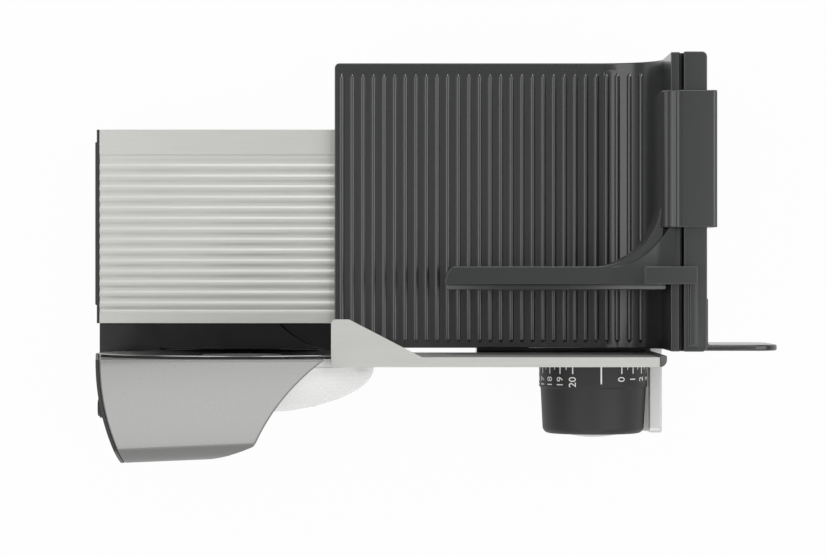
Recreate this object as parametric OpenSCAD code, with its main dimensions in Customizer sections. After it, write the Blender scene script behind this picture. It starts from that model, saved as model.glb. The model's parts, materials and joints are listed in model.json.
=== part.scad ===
// Electric food slicer with a sliding carriage, a vertical round blade and an adjustable stop plate.
// Millimetres, +Z up. The operator stands at -Y, the carriage is at +Y and slides along X.

/* [Base] */
// Width of the ribbed base plate
base_w = 334; // [310:1:360]
// Depth of the ribbed base plate
base_d = 115.5; // [105:0.5:125]
// Height of the base plate's flat top above the table
deck_z = 60; // [54:1:70]
// Wall of the aluminium profile
profile_wall = 3; // [2:0.5:4]
// Height of the ribs on the base plate
base_rib_h = 0.8; // [0.6:0.1:1.2]
// Distance from rib to rib, on the base plate and on the carriage
rib_pitch = 6.3; // [5.5:0.1:7]
// Plain band behind the ribs of the base plate
plain_band = 14; // [14:1:20]
// Depth of the black deck between the base plate and the cutting plane
deck_d = 16; // [14:0.5:20]
// Thickness of the end caps on the profile
cap_t = 2.5; // [2:0.5:4]
// Height of the rubber feet
foot_h = 8; // [6:1:12]
// Diameter of the rubber feet
foot_d = 18; // [14:1:22]
// Wall of the moulded plastic parts
mould_wall = 3; // [2:0.5:4]

/* [Blade] */
// Blade diameter
blade_d = 165; // [158:1:167]
// Height of the blade axis above the table
blade_z = 125; // [122:1:130]
// Distance of the blade axis from the left end of the base plate
blade_inset = 88.5; // [86:0.5:92]
// Thickness of the blade
blade_t = 1.5; // [1:0.1:2]
// Depth of the blade's dish behind the cutting plane
blade_dish = 6.5; // [5:0.5:7]
// Diameter of the flat centre of the blade
blade_flat_d = 92; // [86:1:100]
// Diameter of the blade hub
hub_d = 30; // [26:1:34]
// Diameter of the blade lock
lock_d = 46; // [42:1:52]

/* [Drive] */
// Gear module between the idler and the blade
blade_module = 1.25; // [1.1:0.05:1.3]
// Teeth of the blade gear
blade_teeth = 60; // [56:1:61]
// Teeth of the idler's small gear
idler_small_teeth = 12; // [12:1:14]
// Gear module between the motor and the idler
motor_module = 1; // [0.9:0.05:1]
// Teeth of the idler's large gear
idler_large_teeth = 36; // [34:1:37]
// Teeth of the motor pinion
pinion_teeth = 12; // [12:1:14]
// Distance of the motor axis from the blade axis
motor_dist = 37.5; // [35:0.5:40]
// Direction of the motor axis from the blade axis, in degrees
motor_angle = 195; // [190:1:200]
// Diameter of the motor can
motor_d = 52; // [46:1:54]
// Length of the motor can
motor_len = 29; // [24:1:30]
// Diameter of the motor shaft
shaft_d = 5; // [4:0.5:6]
// Diameter of the blade axle
axle_d = 12; // [10:1:14]

/* [Gear case] */
// Diameter of the gear case's lip behind the blade
case_lip_d = 158; // [156:0.5:159]
// Largest diameter of the bowl
case_d = 152; // [151:0.5:154]
// Depth of the bowl's bottom behind the cutting plane
case_depth = 33; // [31:0.5:36]
// Wall of the gear case
case_wall = 2.5; // [2:0.5:3]

/* [Motor housing] */
// Height of the housing's top edge above the blade axis
tower_rise = 91; // [88:1:98]
// Drop from the top edge to the crease over the front
crease_drop = 28; // [24:1:32]
// Depth of the housing in front of the cutting plane
tower_d = 63.5; // [62:0.5:72]
// Wall of the housing
tower_wall = 2.5; // [2:0.5:3]
// Lean of the housing's side walls, in degrees
tower_lean = 5.5; // [5:0.5:6]
// Thickness of the black side cover
side_cover_t = 1.8; // [1.4:0.2:2.4]
// Diameter of the switch button
button_d = 12; // [10:1:14]
// Travel of the switch button
button_travel = 1.5; // [1:0.5:2]

/* [Stop plate] */
// Height of the stop plate's lower edge
plate_bottom = 75; // [74:1:80]
// Height of the stop plate's top
plate_top = 195; // [190:1:200]
// Thickness of the stop plate
plate_t = 3; // [2:0.5:4]
// Depth of the stop plate's folded edges
plate_fold = 5.5; // [4.5:0.5:8]
// Right end of the stop plate, measured from the blade axis
plate_reach = 235.5; // [228:0.5:242]
// Gap between the stop plate and the blade's edge
blade_gap = 3; // [2:0.5:4]
// How far the guard wing stands out over the carriage
wing_d = 21; // [16:1:26]
// Length of the guard wing
wing_len = 50.5; // [44:0.5:56]
// Greatest slice thickness
slice_max = 20; // [16:1:20]

/* [Knob] */
// Diameter of the numbered ring of the knob
knob_d = 65; // [56:1:66]
// Depth of the numbered ring
knob_ring = 17; // [16:1:20]
// Whole depth of the knob
knob_len = 45; // [42:1:48]
// Diameter of the grip at its end
knob_grip_d = 61; // [54:1:62]
// Height of the knob's axis
knob_z = 40; // [38:1:41]
// Place of the knob's axis, measured from the right end of the base plate
knob_inset = 38.5; // [36:0.5:42]
// Diameter of the knob spindle
spindle_d = 10; // [8:1:12]
// Diameter of the guide rods of the stop plate
rod_d = 8; // [6:1:10]

/* [Carriage] */
// Width of the carriage floor up to the wall
floor_w = 192; // [185:1:200]
// Depth of the carriage floor
floor_d = 169; // [160:1:180]
// Distance of the carriage's left edge from the left end of the base plate
carriage_rest = 140.5; // [136:0.5:148]
// Height of the carriage floor above the base plate's top
floor_h = 9; // [8:0.5:11]
// Height of the carriage's ribs
floor_rib_h = 0.9; // [0.6:0.1:1.2]
// Height of the carriage wall above its floor
wall_h = 101; // [90:1:102]
// Thickness of the carriage wall
wall_t = 20; // [18:1:24]
// Thickness of the wall's lower inner layer
wall_inner_t = 6; // [5:0.5:7]
// Radius of the fillet between the floor and the wall
floor_fillet = 35; // [25:1:40]
// Gap between the carriage's front edge and the cutting plane
cut_gap = 1.5; // [1.5:0.1:2.5]
// How far the thumb guard stands out beyond the wall
guard_len = 43; // [36:1:50]

/* [Remnant holder] */
// Length of the holder's saddle on the wall
saddle_len = 77; // [70:1:84]
// Thickness of the saddle's walls
saddle_t = 5; // [4:0.5:6]
// Distance of the saddle's back end from the carriage's back edge
saddle_rest = 22; // [20:1:26]
// Length of the pusher plate from the wall
pusher_len = 127; // [110:1:135]
// Thickness of the pusher plate
pusher_t = 10; // [8:0.5:12]
// Height of the pusher plate
pusher_h = 94; // [84:1:95]
// Distance of the pusher plate's front from the carriage's front edge
pusher_rest = 38; // [36:1:42]
// Radius of the web between the pusher plate and the saddle
web_r = 38; // [30:1:40]

/* [Fits] */
// Gap between bodies that slide on each other
slide_gap = 0.4; // [0.3:0.1:0.6]
// Radial gap of shafts in their bores
run_gap = 0.06; // [0.04:0.01:0.1]
// Extra centre distance of meshing gears
mesh_gap = 0.2; // [0.15:0.05:0.25]

/* [Hidden] */
$fn = 96;
// Overlap that lets a cut pass through a face
cut = 1;

// Places along X, with the whole width centred on the origin
total_w = cap_t + carriage_rest + floor_w + wall_t + guard_len;
base_left = cap_t - total_w / 2;
base_right = base_left + base_w;
blade_x = base_left + blade_inset;
floor_left = base_left + carriage_rest;
wall_in = floor_left + floor_w;
wall_out = wall_in + wall_t;
knob_x = base_right - knob_inset;

// Places along Y, with the whole depth centred on the origin
total_d = tower_d + cut_gap + floor_d;
cut_y = tower_d - total_d / 2;
floor_front = cut_y + cut_gap;
floor_back = floor_front + floor_d;
base_front = cut_y + deck_d;
base_back = base_front + base_d;

// Base plate profile: rear rail with its bead, front lip and screw channels
rail_d = 6;
bead_d = 2.5;
bead_h = 3;
lip_h = 12;
front_strip = 6.2;
base_ribs = floor((base_d - plain_band - front_strip) / rib_pitch);
wave_front = base_front + front_strip;
wave_r = (rib_pitch ^ 2 / 16 + base_rib_h ^ 2 / 4) / base_rib_h;
wave_lap = 0.005;
channel_r = 3.5;
channel_bore = 1.6;
channel_front = 25;
channel_back = 29;
channel_sink = 0.5;
rear_wall_y = base_back - rail_d;
rail_bottom = deck_z - profile_wall - bead_h;
skirt_gap = 2;
skirt_bottom = foot_h + skirt_gap;

// End caps: raised panel and the lugs that carry the rear feet
panel_t = 0.9;
panel_front = 11;
panel_back = 1.5;
lug_edge = 6;
lug_w = foot_d + lug_edge;
lug_h = 6;

// Black body
deck_drop = 1;
body_top = deck_z - deck_drop;
tower_top = blade_z + tower_rise;
tower_crease = tower_top - crease_drop;
lean_shift = (tower_top - body_top) * tan(tower_lean);
deck_gap = 1;
deck_reach = 88;
deck_right = blade_x + deck_reach;
step_right = 66;
step_behind = 65;
step_x = blade_x + step_right;
step_y = cut_y + step_behind;
step_r = 68.5;
step_depth = 8;
trench_gap = 2;
trench_right = 42;
trench_end = blade_x + trench_right;
cavity_top = blade_z - blade_d / 2 - trench_gap - mould_wall;
body_foot_left = 40;
body_foot_in = 12;
body_foot = [blade_x - lean_shift - body_foot_left, cut_y - tower_d + foot_d / 2 + body_foot_in];
case_gap = 0.5;
gland_r = 6;
gland_bore = 3.5;
gland_flange_r = 8;
gland_flange_t = 2;
gland_len = 12;
gland_y = cut_y + deck_d / 2;
gland_rise = 16;
gland_z = foot_h + gland_rise;

// Depths behind the cutting plane, from the blade to the motor
blade_back = blade_dish + blade_t;
hub_stand = 3;
axle_stand = 1.5;
gear_web = 1.5;
face_blade = 5.5;
face_motor = 4;
gear_side = 0.8;
gear_a0 = blade_back + gear_web;
gear_a1 = gear_a0 + face_blade;
gear_b0 = gear_a1 + gear_side;
gear_b1 = gear_b0 + face_motor;
plate_h0 = gear_b1 + gear_side;
gear_plate_t = 2;
plate_h1 = plate_h0 + gear_plate_t;
motor_h1 = plate_h1 + motor_len;

// Places of the motor and the idler in the blade's plane, from the blade axis
blade_centres = blade_module * (blade_teeth + idler_small_teeth) / 2 + mesh_gap;
motor_centres = motor_module * (idler_large_teeth + pinion_teeth) / 2 + mesh_gap;
motor_pos = motor_dist * [cos(motor_angle), sin(motor_angle)];
idler_turn = acos(
    (motor_dist ^ 2 + blade_centres ^ 2 - motor_centres ^ 2) / (2 * motor_dist * blade_centres)
);
idler_angle = motor_angle - idler_turn;
idler_pos = blade_centres * [cos(idler_angle), sin(idler_angle)];
idler_to_motor = atan2(motor_pos[1] - idler_pos[1], motor_pos[0] - idler_pos[0]);
idler_pin_r = 2.5;

// Gear teeth
pressure_angle = 25;
addendum = 0.85;
dedendum = 1.15;
tooth_thinning = 0.05;

// Gear case: lip, groove and bowl
case_lip_h0 = 2.2;
case_lip_h1 = 6.2;
case_groove = 1;
case_lip_w = 3.8;
case_mouth_h = 4.4;
case_mouth_r = case_lip_d / 2 - case_lip_w;
case_start = 8.2;
case_apex = 6;
case_bulge = case_depth - case_apex;
case_steps = 12;
room_steps = 6;
room_sag = 0.4;
room_bulge = case_bulge + 1;
room_seam = 0.05;
case_in_r = case_d / 2 - case_groove - case_wall;

// Motor housing: radii and centres of its walls, from the blade axis and the cutting plane
tower_back = 1.8;
bulge_r = 200;
side_r = 131.5;
side_x = 56.2;
side_h = 3;
bow_r = 111.5;
bow_x = 116.8;
bow_h = 91.4;
nose_r = 90;
nose_x = -32.5;
crease_h = tower_d - bulge_r + sqrt(bulge_r ^ 2 - (tower_crease - blade_z) ^ 2);
top_slope = atan(crease_drop / (crease_h - tower_back));
crown_r = 300;
tower_skew = 2.4;
skew_x = 75;

// Switch on the left side
button_h = 30.5;
button_z = 150;
button_gap = 0.3;
button_stand = 1.7;
button_flange = 1.5;
side_face_x = blade_x + side_x - sqrt(side_r ^ 2 - (button_h - side_h) ^ 2)
    - (tower_top - button_z) * tan(tower_lean);
button_clear = 2.4;
side_depth = side_cover_t + tower_wall + button_clear;

// Front right arm
arm_len = 50;
arm_flare = 9;
arm_front = cut_y - arm_len;
arm_drop = 14;
arm_top = deck_z - arm_drop;

// Knob, spindle and the guides of the stop plate
plate_set = 1;
plate_face = cut_y - plate_set;
plate_back = plate_face - plate_t;
plate_start = 53;
plate_left = blade_x + plate_start;
plate_right = blade_x + plate_reach;
travel_spare = 1.5;
plate_travel = slice_max + travel_spare;
wing_corner_r = 2.5;
wing_flat = 10;
housing_gap = 0.7;
housing_front = plate_back + housing_gap;
housing_in = 32;
housing_side = 5;
housing_drop = 4;
lip_gap = 2;
housing_back = base_front + housing_in;
housing_right = base_right - housing_side;
housing_top = deck_z - housing_drop;
housing_low = deck_z - lip_h - lip_gap;
bush_wall = 3;
bush_flange = 1.5;
knob_back = housing_front - bush_flange - slide_gap;
rod_from_knob = 14;
rod_spacing = 17;
rod_rise = 20;
rod_wall = 7;
rod_x1 = knob_x - knob_d / 2 - rod_from_knob;
rod_x2 = rod_x1 - rod_spacing;
rod_z = foot_h + rod_rise;
housing_left = rod_x2 - rod_wall;
carrier_t = 5;
carrier_front = plate_back - carrier_t;
carrier_grip = 18;
carrier_top = plate_bottom + carrier_grip;
yoke_t = 12;
yoke_gap = 1;
yoke_front = housing_back + plate_travel + yoke_gap;

// Carriage
floor_top = deck_z + floor_h;
floor_t = 3.5;
floor_under = floor_top - floor_t;
skirt_z = deck_z + slide_gap;
rim_w = 3.5;
rim_h = 1.5;
floor_rib_r = 2;
rib_end = 9;
rib_first = 10.4;
floor_ribs = floor((floor_w - rib_first - floor_fillet / 3) / rib_pitch);
corner_r = 3;
wall_top = floor_top + wall_h;
wall_step = 5;
wall_inner_top = wall_top - wall_step;
groove_w = 2;
groove_depth = 12;
ridge_in = 10;
ridge_x = wall_in + ridge_in;
ridge_w = 4;
ridge_h = 2.5;
ridge_len = 38;
shoe_len = 40;
shoe_d = 6;
shoe_h = 5;
shoe_in = 14;
guard_t = 3.5;
guard_h = 78;
guard_flange = 2.5;
guard_flange_d = 30;

// Remnant holder
holder_in = wall_in - slide_gap;
leg_in = holder_in - saddle_t;
leg_gap = 2;
leg_bottom = floor_top + floor_fillet + leg_gap;
outer_leg_h = 40;
saddle_back = floor_back - saddle_rest;
saddle_front = saddle_back - saddle_len;
pusher_front = floor_front + pusher_rest;
pusher_bottom = floor_top + floor_rib_h + slide_gap;
pusher_top = pusher_bottom + pusher_h;
pusher_left = holder_in - pusher_len;
pusher_back = pusher_front + pusher_t;
pusher_nose = 14;
tooth_d = 4;
tooth_pitch = 4.2;
tooth_drop = 12;
web_t = 4;
web_centre = [leg_in - web_r, pusher_back + web_r];
saddle_low = wall_top + slide_gap;
saddle_top = saddle_low + saddle_t;
hook_low = wall_top + ridge_h + slide_gap;
outer_leg_x = wall_out + slide_gap;

// Frames of the turning parts: local z runs toward the operator
module at_blade() {
    translate([blade_x, cut_y, blade_z]) rotate([90, 0, 0]) children();
}
module at_motor() {
    at_blade() translate([motor_pos[0], motor_pos[1], 0]) children();
}
module at_idler() {
    at_blade() translate([idler_pos[0], idler_pos[1], 0]) children();
}
module at_knob() {
    translate([knob_x, knob_back, knob_z]) rotate([90, 0, 0]) children();
}

// A drawing in Y and Z, pulled along X from x0 to x1
module along_x(x0, x1) {
    translate([x0, 0, 0]) rotate([90, 0, 90]) linear_extrude(x1 - x0) children();
}
// A drawing in X and Z, pulled along Y from y0 to y1
module along_y(y0, y1) {
    translate([0, y1, 0]) rotate([90, 0, 0]) linear_extrude(y1 - y0) children();
}
// A block between two corners, and the same as a flat drawing
module block(low, high) {
    translate(low) cube(high - low);
}
module rect(low, high) {
    translate(low) square(high - low);
}
// A tube along Z from z0 to z1
module tube(r_out, r_in, z0, z1) {
    translate([0, 0, z0]) linear_extrude(z1 - z0) difference() {
        circle(r_out);
        circle(r_in);
    }
}
// A rod along Z from z0 to z1
module rod(r, z0, z1) {
    translate([0, 0, z0]) cylinder(r = r, h = z1 - z0);
}

// Involute spur gears: each flank runs from the root over the base circle to the tip
function roll(base_r, r) = sqrt(max(0, (r / base_r) ^ 2 - 1)) * 180 / PI - acos(min(1, base_r / r));
function half_tooth(pitch_r, base_r, teeth, r) =
    90 / teeth - tooth_thinning / pitch_r * 180 / PI
    + roll(base_r, pitch_r) - roll(base_r, max(r, base_r));
module gear_outline(m, teeth) {
    pitch_r = m * teeth / 2;
    base_r = pitch_r * cos(pressure_angle);
    tip_r = pitch_r + addendum * m;
    root_r = pitch_r - dedendum * m;
    foot_r = max(base_r, root_r + 0.1 * m);
    flank = [root_r, foot_r, (foot_r + tip_r) / 2, tip_r];
    polygon([
        for (t = [0 : teeth - 1], side = [-1, 1], i = [0 : len(flank) - 1])
            let (r = flank[side < 0 ? i : len(flank) - 1 - i])
            let (a = 360 * t / teeth + side * half_tooth(pitch_r, base_r, teeth, r))
            r * [cos(a), sin(a)]
    ]);
}

// Base plate: extruded aluminium with ribs along the carriage's travel
module base_profile() {
    wave_mid = deck_z - base_rib_h / 2;
    wave_back = wave_front + base_ribs * rib_pitch;
    difference() {
        union() {
            rect([base_front, deck_z - profile_wall], [base_back, wave_mid]);
            rect([base_front, deck_z - profile_wall], [wave_front, deck_z]);
            rect([wave_back, deck_z - profile_wall], [base_back, deck_z]);
            intersection() {
                rect([base_front, deck_z - profile_wall / 2], [base_back, deck_z + base_rib_h]);
                for (i = [1 : base_ribs - 1])
                    translate([wave_front + i * rib_pitch, deck_z - wave_r]) circle(wave_r);
            }
        }
        for (i = [0 : base_ribs - 1])
            translate([wave_front + (i + 0.5) * rib_pitch, deck_z - base_rib_h + wave_r])
                circle(wave_r + wave_lap);
    }
    rect([base_front, deck_z - lip_h], [base_front + profile_wall, deck_z]);
    rect([rear_wall_y - profile_wall, skirt_bottom], [rear_wall_y, deck_z]);
    rect([base_back - bead_d, rail_bottom], [base_back, deck_z]);
    for (y = [base_front + channel_front, rear_wall_y - channel_back])
        translate([y, deck_z - profile_wall - channel_r + channel_sink]) difference() {
            circle(channel_r);
            circle(channel_bore);
        }
}
module base_plate() {
    color("gainsboro") along_x(base_left, base_right) base_profile();
}

// End cap of the profile, drawn for the left end, with the lug of a rear foot inside
module end_cap() {
    along_x(-cap_t + panel_t, 0) {
        rect([base_front, foot_h], [rear_wall_y, deck_z]);
        rect([base_front, deck_z - profile_wall], [base_back, deck_z]);
        rect([base_back - bead_d, rail_bottom], [base_back, deck_z]);
    }
    along_x(-cap_t, -cap_t + panel_t)
        rect([base_front + panel_front, foot_h], [rear_wall_y - panel_back, deck_z]);
    block([-panel_t, rear_wall_y - profile_wall - slide_gap - lug_w, foot_h],
        [lug_w, rear_wall_y - profile_wall - slide_gap, foot_h + lug_h]);
}
module left_end_cap() {
    color("#303030") translate([base_left, 0, 0]) end_cap();
}
module right_end_cap() {
    color("#303030") translate([base_right, 0, 0]) mirror([1, 0, 0]) end_cap();
}

// Plan of the motor housing, seen from above at its top, with all walls moved in by inset
module tower_plan(inset, side_inset) {
    difference() {
        intersection() {
            translate([side_x, -side_h]) circle(side_r - side_inset, $fn = 192);
            rect([-total_w / 2, -tower_d - cut], [total_w / 2, -tower_back - inset]);
            union() {
                rect([-total_w / 2, -tower_d + inset], [nose_x, 0]);
                translate([nose_x, nose_r - tower_d]) circle(nose_r - inset, $fn = 192);
            }
        }
        translate([bow_x, -bow_h]) circle(bow_r + inset, $fn = 192);
    }
}
// Side view of the motor housing from foot_z up: crowned sloping top and bulged front
module tower_side(inset, foot_z) {
    chord = norm([crease_h - tower_back, crease_drop]);
    mid = -[crease_h + tower_back, tower_crease - tower_top] / 2 + [0, tower_crease];
    crown = mid + sqrt(crown_r ^ 2 - chord ^ 2 / 4) * [sin(top_slope), -cos(top_slope)];
    intersection() {
        rect([-tower_d - cut, foot_z], [tower_d, tower_top + tower_d]);
        translate([bulge_r - tower_d, blade_z]) circle(bulge_r - inset, $fn = 192);
        translate(crown) circle(crown_r - inset, $fn = 256);
    }
}
module tower_form(inset, side_inset, foot_z) {
    intersection() {
        translate([blade_x, cut_y, tower_top]) rotate([0, tower_lean, 0]) translate([0, 0, -tower_top])
            linear_extrude(2 * tower_top) tower_plan(inset, side_inset);
        translate([blade_x - skew_x, cut_y, 0]) rotate([0, 0, tower_skew])
            along_x(-total_w / 2, total_w / 2) tower_side(inset, foot_z);
    }
}
// Outside of the gear case
function bowl_r(r, bulge, h) = r * sqrt(1 - ((h - case_start) / bulge) ^ 2);
module case_form() {
    bowl = case_d / 2;
    step = (case_depth - case_start) / case_steps;
    rotate_extrude() polygon(concat(
        [
            [0, case_lip_h0], [case_lip_d / 2, case_lip_h0], [case_lip_d / 2, case_lip_h1],
            [bowl - case_groove, case_lip_h1], [bowl - case_groove, case_lip_h1 + case_groove],
            [bowl, case_lip_h1 + case_groove]
        ],
        [
            for (i = [0 : case_steps])
                [bowl_r(bowl, case_bulge, case_start + i * step), case_start + i * step]
        ],
        [[0, case_depth]]
    ));
}
// Room round the gear case, from the depth front on, in walls that it passes through
module case_room(front) {
    room_r = case_d / 2 + case_gap + room_sag;
    step = (case_depth + case_gap - case_start) / room_steps;
    rod(case_lip_d / 2 + case_gap, front, case_start);
    for (i = [0 : room_steps - 1])
        translate([0, 0, case_start + i * step - room_seam])
            cylinder(r1 = bowl_r(room_r, room_bulge, case_start + i * step),
                r2 = bowl_r(room_r, room_bulge, case_start + (i + 1) * step), h = step + 2 * room_seam);
}
// Hollow of the gear case
function case_inside(h) = bowl_r(case_in_r, case_bulge - case_wall / 2, h);
module case_hollow() {
    step = (case_depth - case_wall - case_start) / case_steps;
    rotate_extrude() polygon(concat(
        [
            [0, case_lip_h0 - cut], [case_mouth_r, case_lip_h0 - cut], [case_mouth_r, case_mouth_h],
            [case_in_r, case_mouth_h]
        ],
        [
            for (i = [0 : case_steps])
                [case_inside(case_start + i * step), case_start + i * step]
        ],
        [[0, case_depth - case_wall]]
    ));
}

// Black body: deck beside the blade and the block that carries the motor housing
module body_plan(inset) {
    translate([blade_x - lean_shift, cut_y]) tower_plan(inset, inset);
    rect([base_left + inset, cut_y - tower_back - 2 * mould_wall + inset],
        [deck_right - inset, base_front - inset]);
}
module base_body() {
    notch_y = plate_face + slide_gap;
    color("#202020") difference() {
        translate([0, 0, foot_h]) linear_extrude(body_top - foot_h) body_plan(0);
        translate([0, 0, foot_h - cut])
            linear_extrude(cavity_top - foot_h + cut) difference() {
                body_plan(mould_wall);
                translate(body_foot) circle(d = foot_d);
                rect([trench_end - mould_wall, cut_y - tower_d], [deck_right, notch_y + mould_wall]);
            }
        at_blade() rod(blade_d / 2 + trench_gap, -deck_gap, case_lip_h1 + case_gap);
        at_blade() case_room(-deck_gap);
        block([trench_end, cut_y - tower_d, foot_h - cut], [deck_right + cut, notch_y, deck_z]);
        translate([step_x, step_y, body_top - step_depth])
            cylinder(r = step_r, h = step_depth + cut, $fn = 192);
        block([step_x, notch_y - cut, body_top - step_depth], [deck_right + cut, step_y, deck_z]);
        translate([base_left - cut, gland_y, gland_z]) rotate([0, 90, 0])
            rod(gland_r + run_gap, 0, 2 * gland_len);
    }
}
// Cord gland in the body's left face
module cord_gland() {
    color("#404040") translate([base_left, gland_y, gland_z]) rotate([0, 90, 0]) {
        tube(gland_flange_r, gland_bore, -gland_flange_t, 0);
        tube(gland_r, gland_bore, 0, gland_len);
    }
}

// Front right foot: a silver arm beside the knob, wider toward the table
module front_arm() {
    round_r = 4;
    arm_right = base_right + cap_t;
    color("silver") intersection() {
        along_x(housing_right - arm_flare, arm_right) {
            rect([arm_front + round_r, foot_h], [base_front, arm_top]);
            rect([arm_front, foot_h], [base_front, arm_top - round_r]);
            translate([arm_front + round_r, arm_top - round_r]) circle(round_r);
        }
        union() {
            along_y(arm_front - cut, housing_front - slide_gap) polygon([
                [housing_right - arm_flare, foot_h], [arm_right, foot_h], [arm_right, arm_top],
                [housing_right, arm_top], [housing_right, foot_h + 2 * arm_flare]
            ]);
            block([housing_right, housing_front - cut, foot_h], [arm_right, base_front, arm_top]);
        }
    }
}

// Housing of the knob spindle and of the guide rods
module knob_housing() {
    color("#282828") difference() {
        union() {
            block([housing_left, housing_front, foot_h], [housing_right, base_front, housing_top]);
            block([housing_left, base_front, foot_h], [housing_right, housing_back, housing_low]);
        }
        at_knob() rod(spindle_d / 2 + bush_wall, -2 * housing_right, housing_right);
        for (x = [rod_x1, rod_x2])
            translate([x, housing_front - cut, rod_z]) rotate([-90, 0, 0])
                rod(rod_d / 2 + run_gap, 0, housing_back - housing_front + 2 * cut);
    }
}
module spindle_bush() {
    bore_r = spindle_d / 2 + run_gap;
    flange_start = knob_back - housing_front;
    color("peru") at_knob() {
        tube(bore_r + bush_wall - 3 * run_gap / 2, bore_r, knob_back - housing_back, flange_start);
        tube(bore_r + 2 * bush_wall, bore_r, flange_start, flange_start + bush_flange);
    }
}

// Rubber feet: two under the end caps, one under the body and one under the arm
module rubber_feet() {
    rear_y = rear_wall_y - profile_wall - slide_gap - lug_w / 2;
    arm_x = (housing_right - arm_flare + base_right + cap_t) / 2;
    arm_foot_d = base_right + cap_t - housing_right + arm_flare / 2;
    color("#1c1c1c") {
        for (x = [base_left + lug_w / 2, base_right - lug_w / 2])
            translate([x, rear_y, 0]) cylinder(d = foot_d, h = foot_h);
        translate(body_foot) cylinder(d = foot_d, h = foot_h);
        translate([arm_x, arm_front + foot_d, 0]) cylinder(d = arm_foot_d, h = foot_h);
    }
}

// Motor housing: a hollow cast shell, open below and round the gear case
module motor_housing() {
    color("#b8b8b4") difference() {
        tower_form(0, side_cover_t, body_top);
        tower_form(tower_wall, side_cover_t + tower_wall, body_top - cut);
        at_blade() case_room(-cut);
        switch_hole();
    }
}
module switch_hole() {
    translate([side_face_x - tower_d, cut_y - button_h, button_z]) rotate([0, 90, 0])
        rod(button_d / 2 + button_gap, 0, 2 * tower_d);
}
// Thin black cover on the housing's left side
module side_cover() {
    color("#2a2a2a") difference() {
        tower_form(0, 0, body_top);
        tower_form(-cut, side_cover_t, body_top - cut);
        switch_hole();
    }
}
// Push button of the momentary switch, with a collar behind the wall
module switch_button() {
    dome = 1;
    color("#181818") translate([side_face_x, cut_y - button_h, button_z]) rotate([0, 90, 0]) {
        rod(button_d / 2, -button_stand + dome, side_depth);
        rod(button_d / 2 - dome, -button_stand, -button_stand + dome);
        rod(button_d / 2 + button_flange, side_depth, side_depth + button_flange);
    }
}
// Switch behind the button, held on two legs that stand on the housing's wall
module switch_body() {
    switch_l = 10;
    switch_d = 10;
    leg_t = 3;
    collar_gap = 0.5;
    half = button_d / 2 + button_flange + collar_gap;
    start = side_face_x + side_depth + button_flange + button_travel + slide_gap;
    color("#505050") intersection() {
        tower_form(tower_wall, side_cover_t + tower_wall, body_top);
        translate([0, cut_y - button_h - switch_d / 2, button_z]) {
            block([start, 0, -half - leg_t], [start + switch_l, switch_d, half + leg_t]);
            for (z = [-half - leg_t, half])
                block([side_face_x, 0, z], [start + switch_l, switch_d, z + leg_t]);
        }
    }
}

// Gear case: the pale bowl behind the blade, with bosses for the gear plate
module gear_case() {
    boss_r = 5;
    color("#e4e4e0") at_blade() difference() {
        union() {
            difference() {
                case_form();
                case_hollow();
            }
            for (a = [20, 95, 290])
                rotate(a) translate([motor_dist + boss_r / 2, 0, 0])
                    rod(boss_r, plate_h1, case_depth - case_wall);
        }
        translate([motor_pos[0], motor_pos[1], 0]) rod(motor_d / 2 + case_gap, plate_h1, 2 * case_depth);
    }
}
// Gear plate: steel disc that carries the axle, the idler pin and the motor
module gear_plate() {
    color("#909090") at_blade() difference() {
        rod(case_inside(plate_h1) - case_gap, plate_h0, plate_h1);
        rod(axle_d / 3 + run_gap / 2, plate_h0 - cut, plate_h1 + cut);
        translate([idler_pos[0], idler_pos[1], 0])
            rod(idler_pin_r + run_gap / 2, plate_h0 - cut, plate_h1 + cut);
        translate([motor_pos[0], motor_pos[1], 0]) rod(shaft_d, plate_h0 - cut, plate_h1 + cut);
    }
}
module blade_axle() {
    collar = 2;
    color("#a0a0a0") at_blade() {
        rod(axle_d / 2, blade_dish - axle_stand, plate_h0);
        rod(axle_d / 2 + collar, plate_h0 - gear_plate_t, plate_h0);
        rod(axle_d / 3, plate_h0, plate_h1);
    }
}
module idler_pin() {
    color("#a0a0a0") at_idler() {
        rod(idler_pin_r, gear_a0 - gear_side, plate_h1);
    }
}

// Blade: a thin steel dish with its cutting edge on the carriage side
module blade() {
    bevel_w = 8;
    bevel_h = 0.8;
    bevel_r = blade_d / 2 - bevel_w;
    hub_r = hub_d / 2 + run_gap;
    flat_r = blade_flat_d / 2;
    edge = 0.3;
    color("#d0d0d0") at_blade() rotate_extrude($fn = 128) polygon([
        [hub_r, blade_dish], [flat_r, blade_dish], [bevel_r, bevel_h], [blade_d / 2, 0],
        [blade_d / 2, edge], [bevel_r, bevel_h + blade_t], [flat_r, blade_back], [hub_r, blade_back]
    ]);
}
// Blade gear: toothed ring with its hub, on which the blade is locked
module blade_gear() {
    rim_t = 4;
    boss_t = 4;
    web_in = axle_d / 2 + 2 * boss_t;
    web_t = 2;
    root_r = blade_module * (blade_teeth / 2 - dedendum);
    color("#f0f0e8") at_blade() difference() {
        union() {
            translate([0, 0, gear_a0]) linear_extrude(face_blade)
                rotate(idler_angle + 180 / blade_teeth) gear_outline(blade_module, blade_teeth);
            rod(root_r, blade_back, gear_a0);
            rod(hub_d / 2, blade_dish - hub_stand, blade_back);
            rod(axle_d / 2 + boss_t, gear_a1, plate_h0 - gear_plate_t - slide_gap);
        }
        rod(axle_d / 2 + run_gap, blade_dish - axle_stand - slide_gap, 2 * plate_h1);
        tube(root_r - rim_t, web_in, gear_a0 + web_t, gear_a1 + cut);
    }
}
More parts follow.
